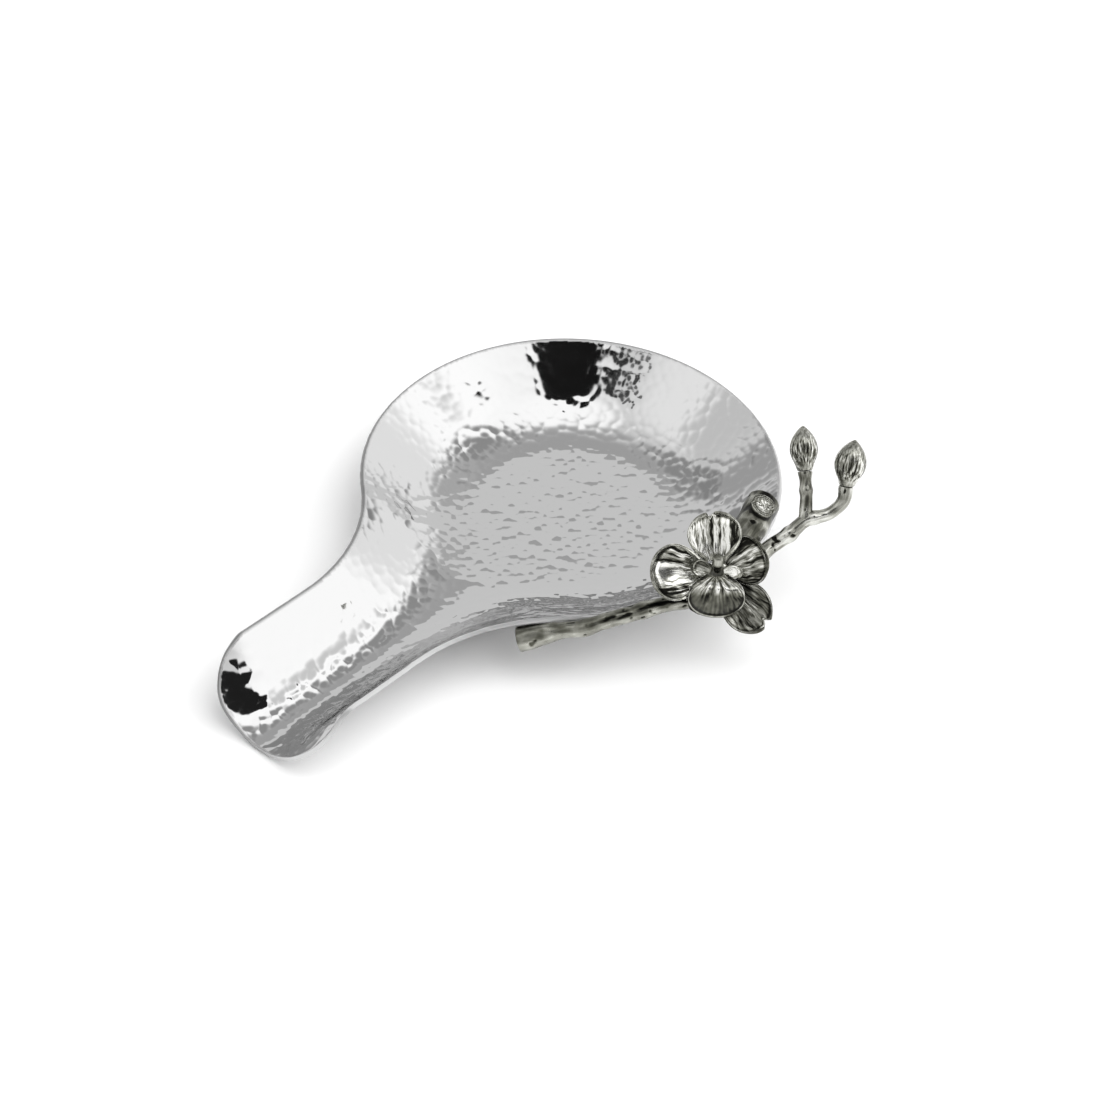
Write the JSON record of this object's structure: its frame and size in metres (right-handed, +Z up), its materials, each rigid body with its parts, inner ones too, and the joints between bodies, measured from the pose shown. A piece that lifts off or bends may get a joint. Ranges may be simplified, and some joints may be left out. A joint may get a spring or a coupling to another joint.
{
  "type": "spoon rest",
  "caption": "Round hammered metal spoon rest with an open trough handle and a cast orchid spray with buds along its rim.",
  "frame": {"origin": "on the table, at the centre of the bowl's flat foot", "axes": "+Z up, -X along the handle to its open tip, so +X is the bowl's far side; the orchid spray lies on the -Y side"},
  "size_m": [0.2062, 0.1554, 0.05],
  "materials": {
    "polished_steel": "mirror-polished stainless steel sheet with hand-hammered facets",
    "dark_nickel": "antiqued dark nickel plate on cast brass, rubbed bright on the edges"
  },
  "bodies": {
    "root": {"dish": "polished_steel", "main_branch": "dark_nickel", "spray_stem": "dark_nickel", "left_bud_stem": "dark_nickel", "inner_twig": "dark_nickel", "left_bud": "dark_nickel", "right_bud": "dark_nickel", "flower_stalk": "dark_nickel", "dorsal_sepal": "dark_nickel", "left_petal": "dark_nickel", "right_petal": "dark_nickel", "left_lateral_sepal": "dark_nickel", "right_lateral_sepal": "dark_nickel", "lip": "dark_nickel", "left_lobe": "dark_nickel", "right_lobe": "dark_nickel", "column": "dark_nickel"}
  },
  "joints": []
}
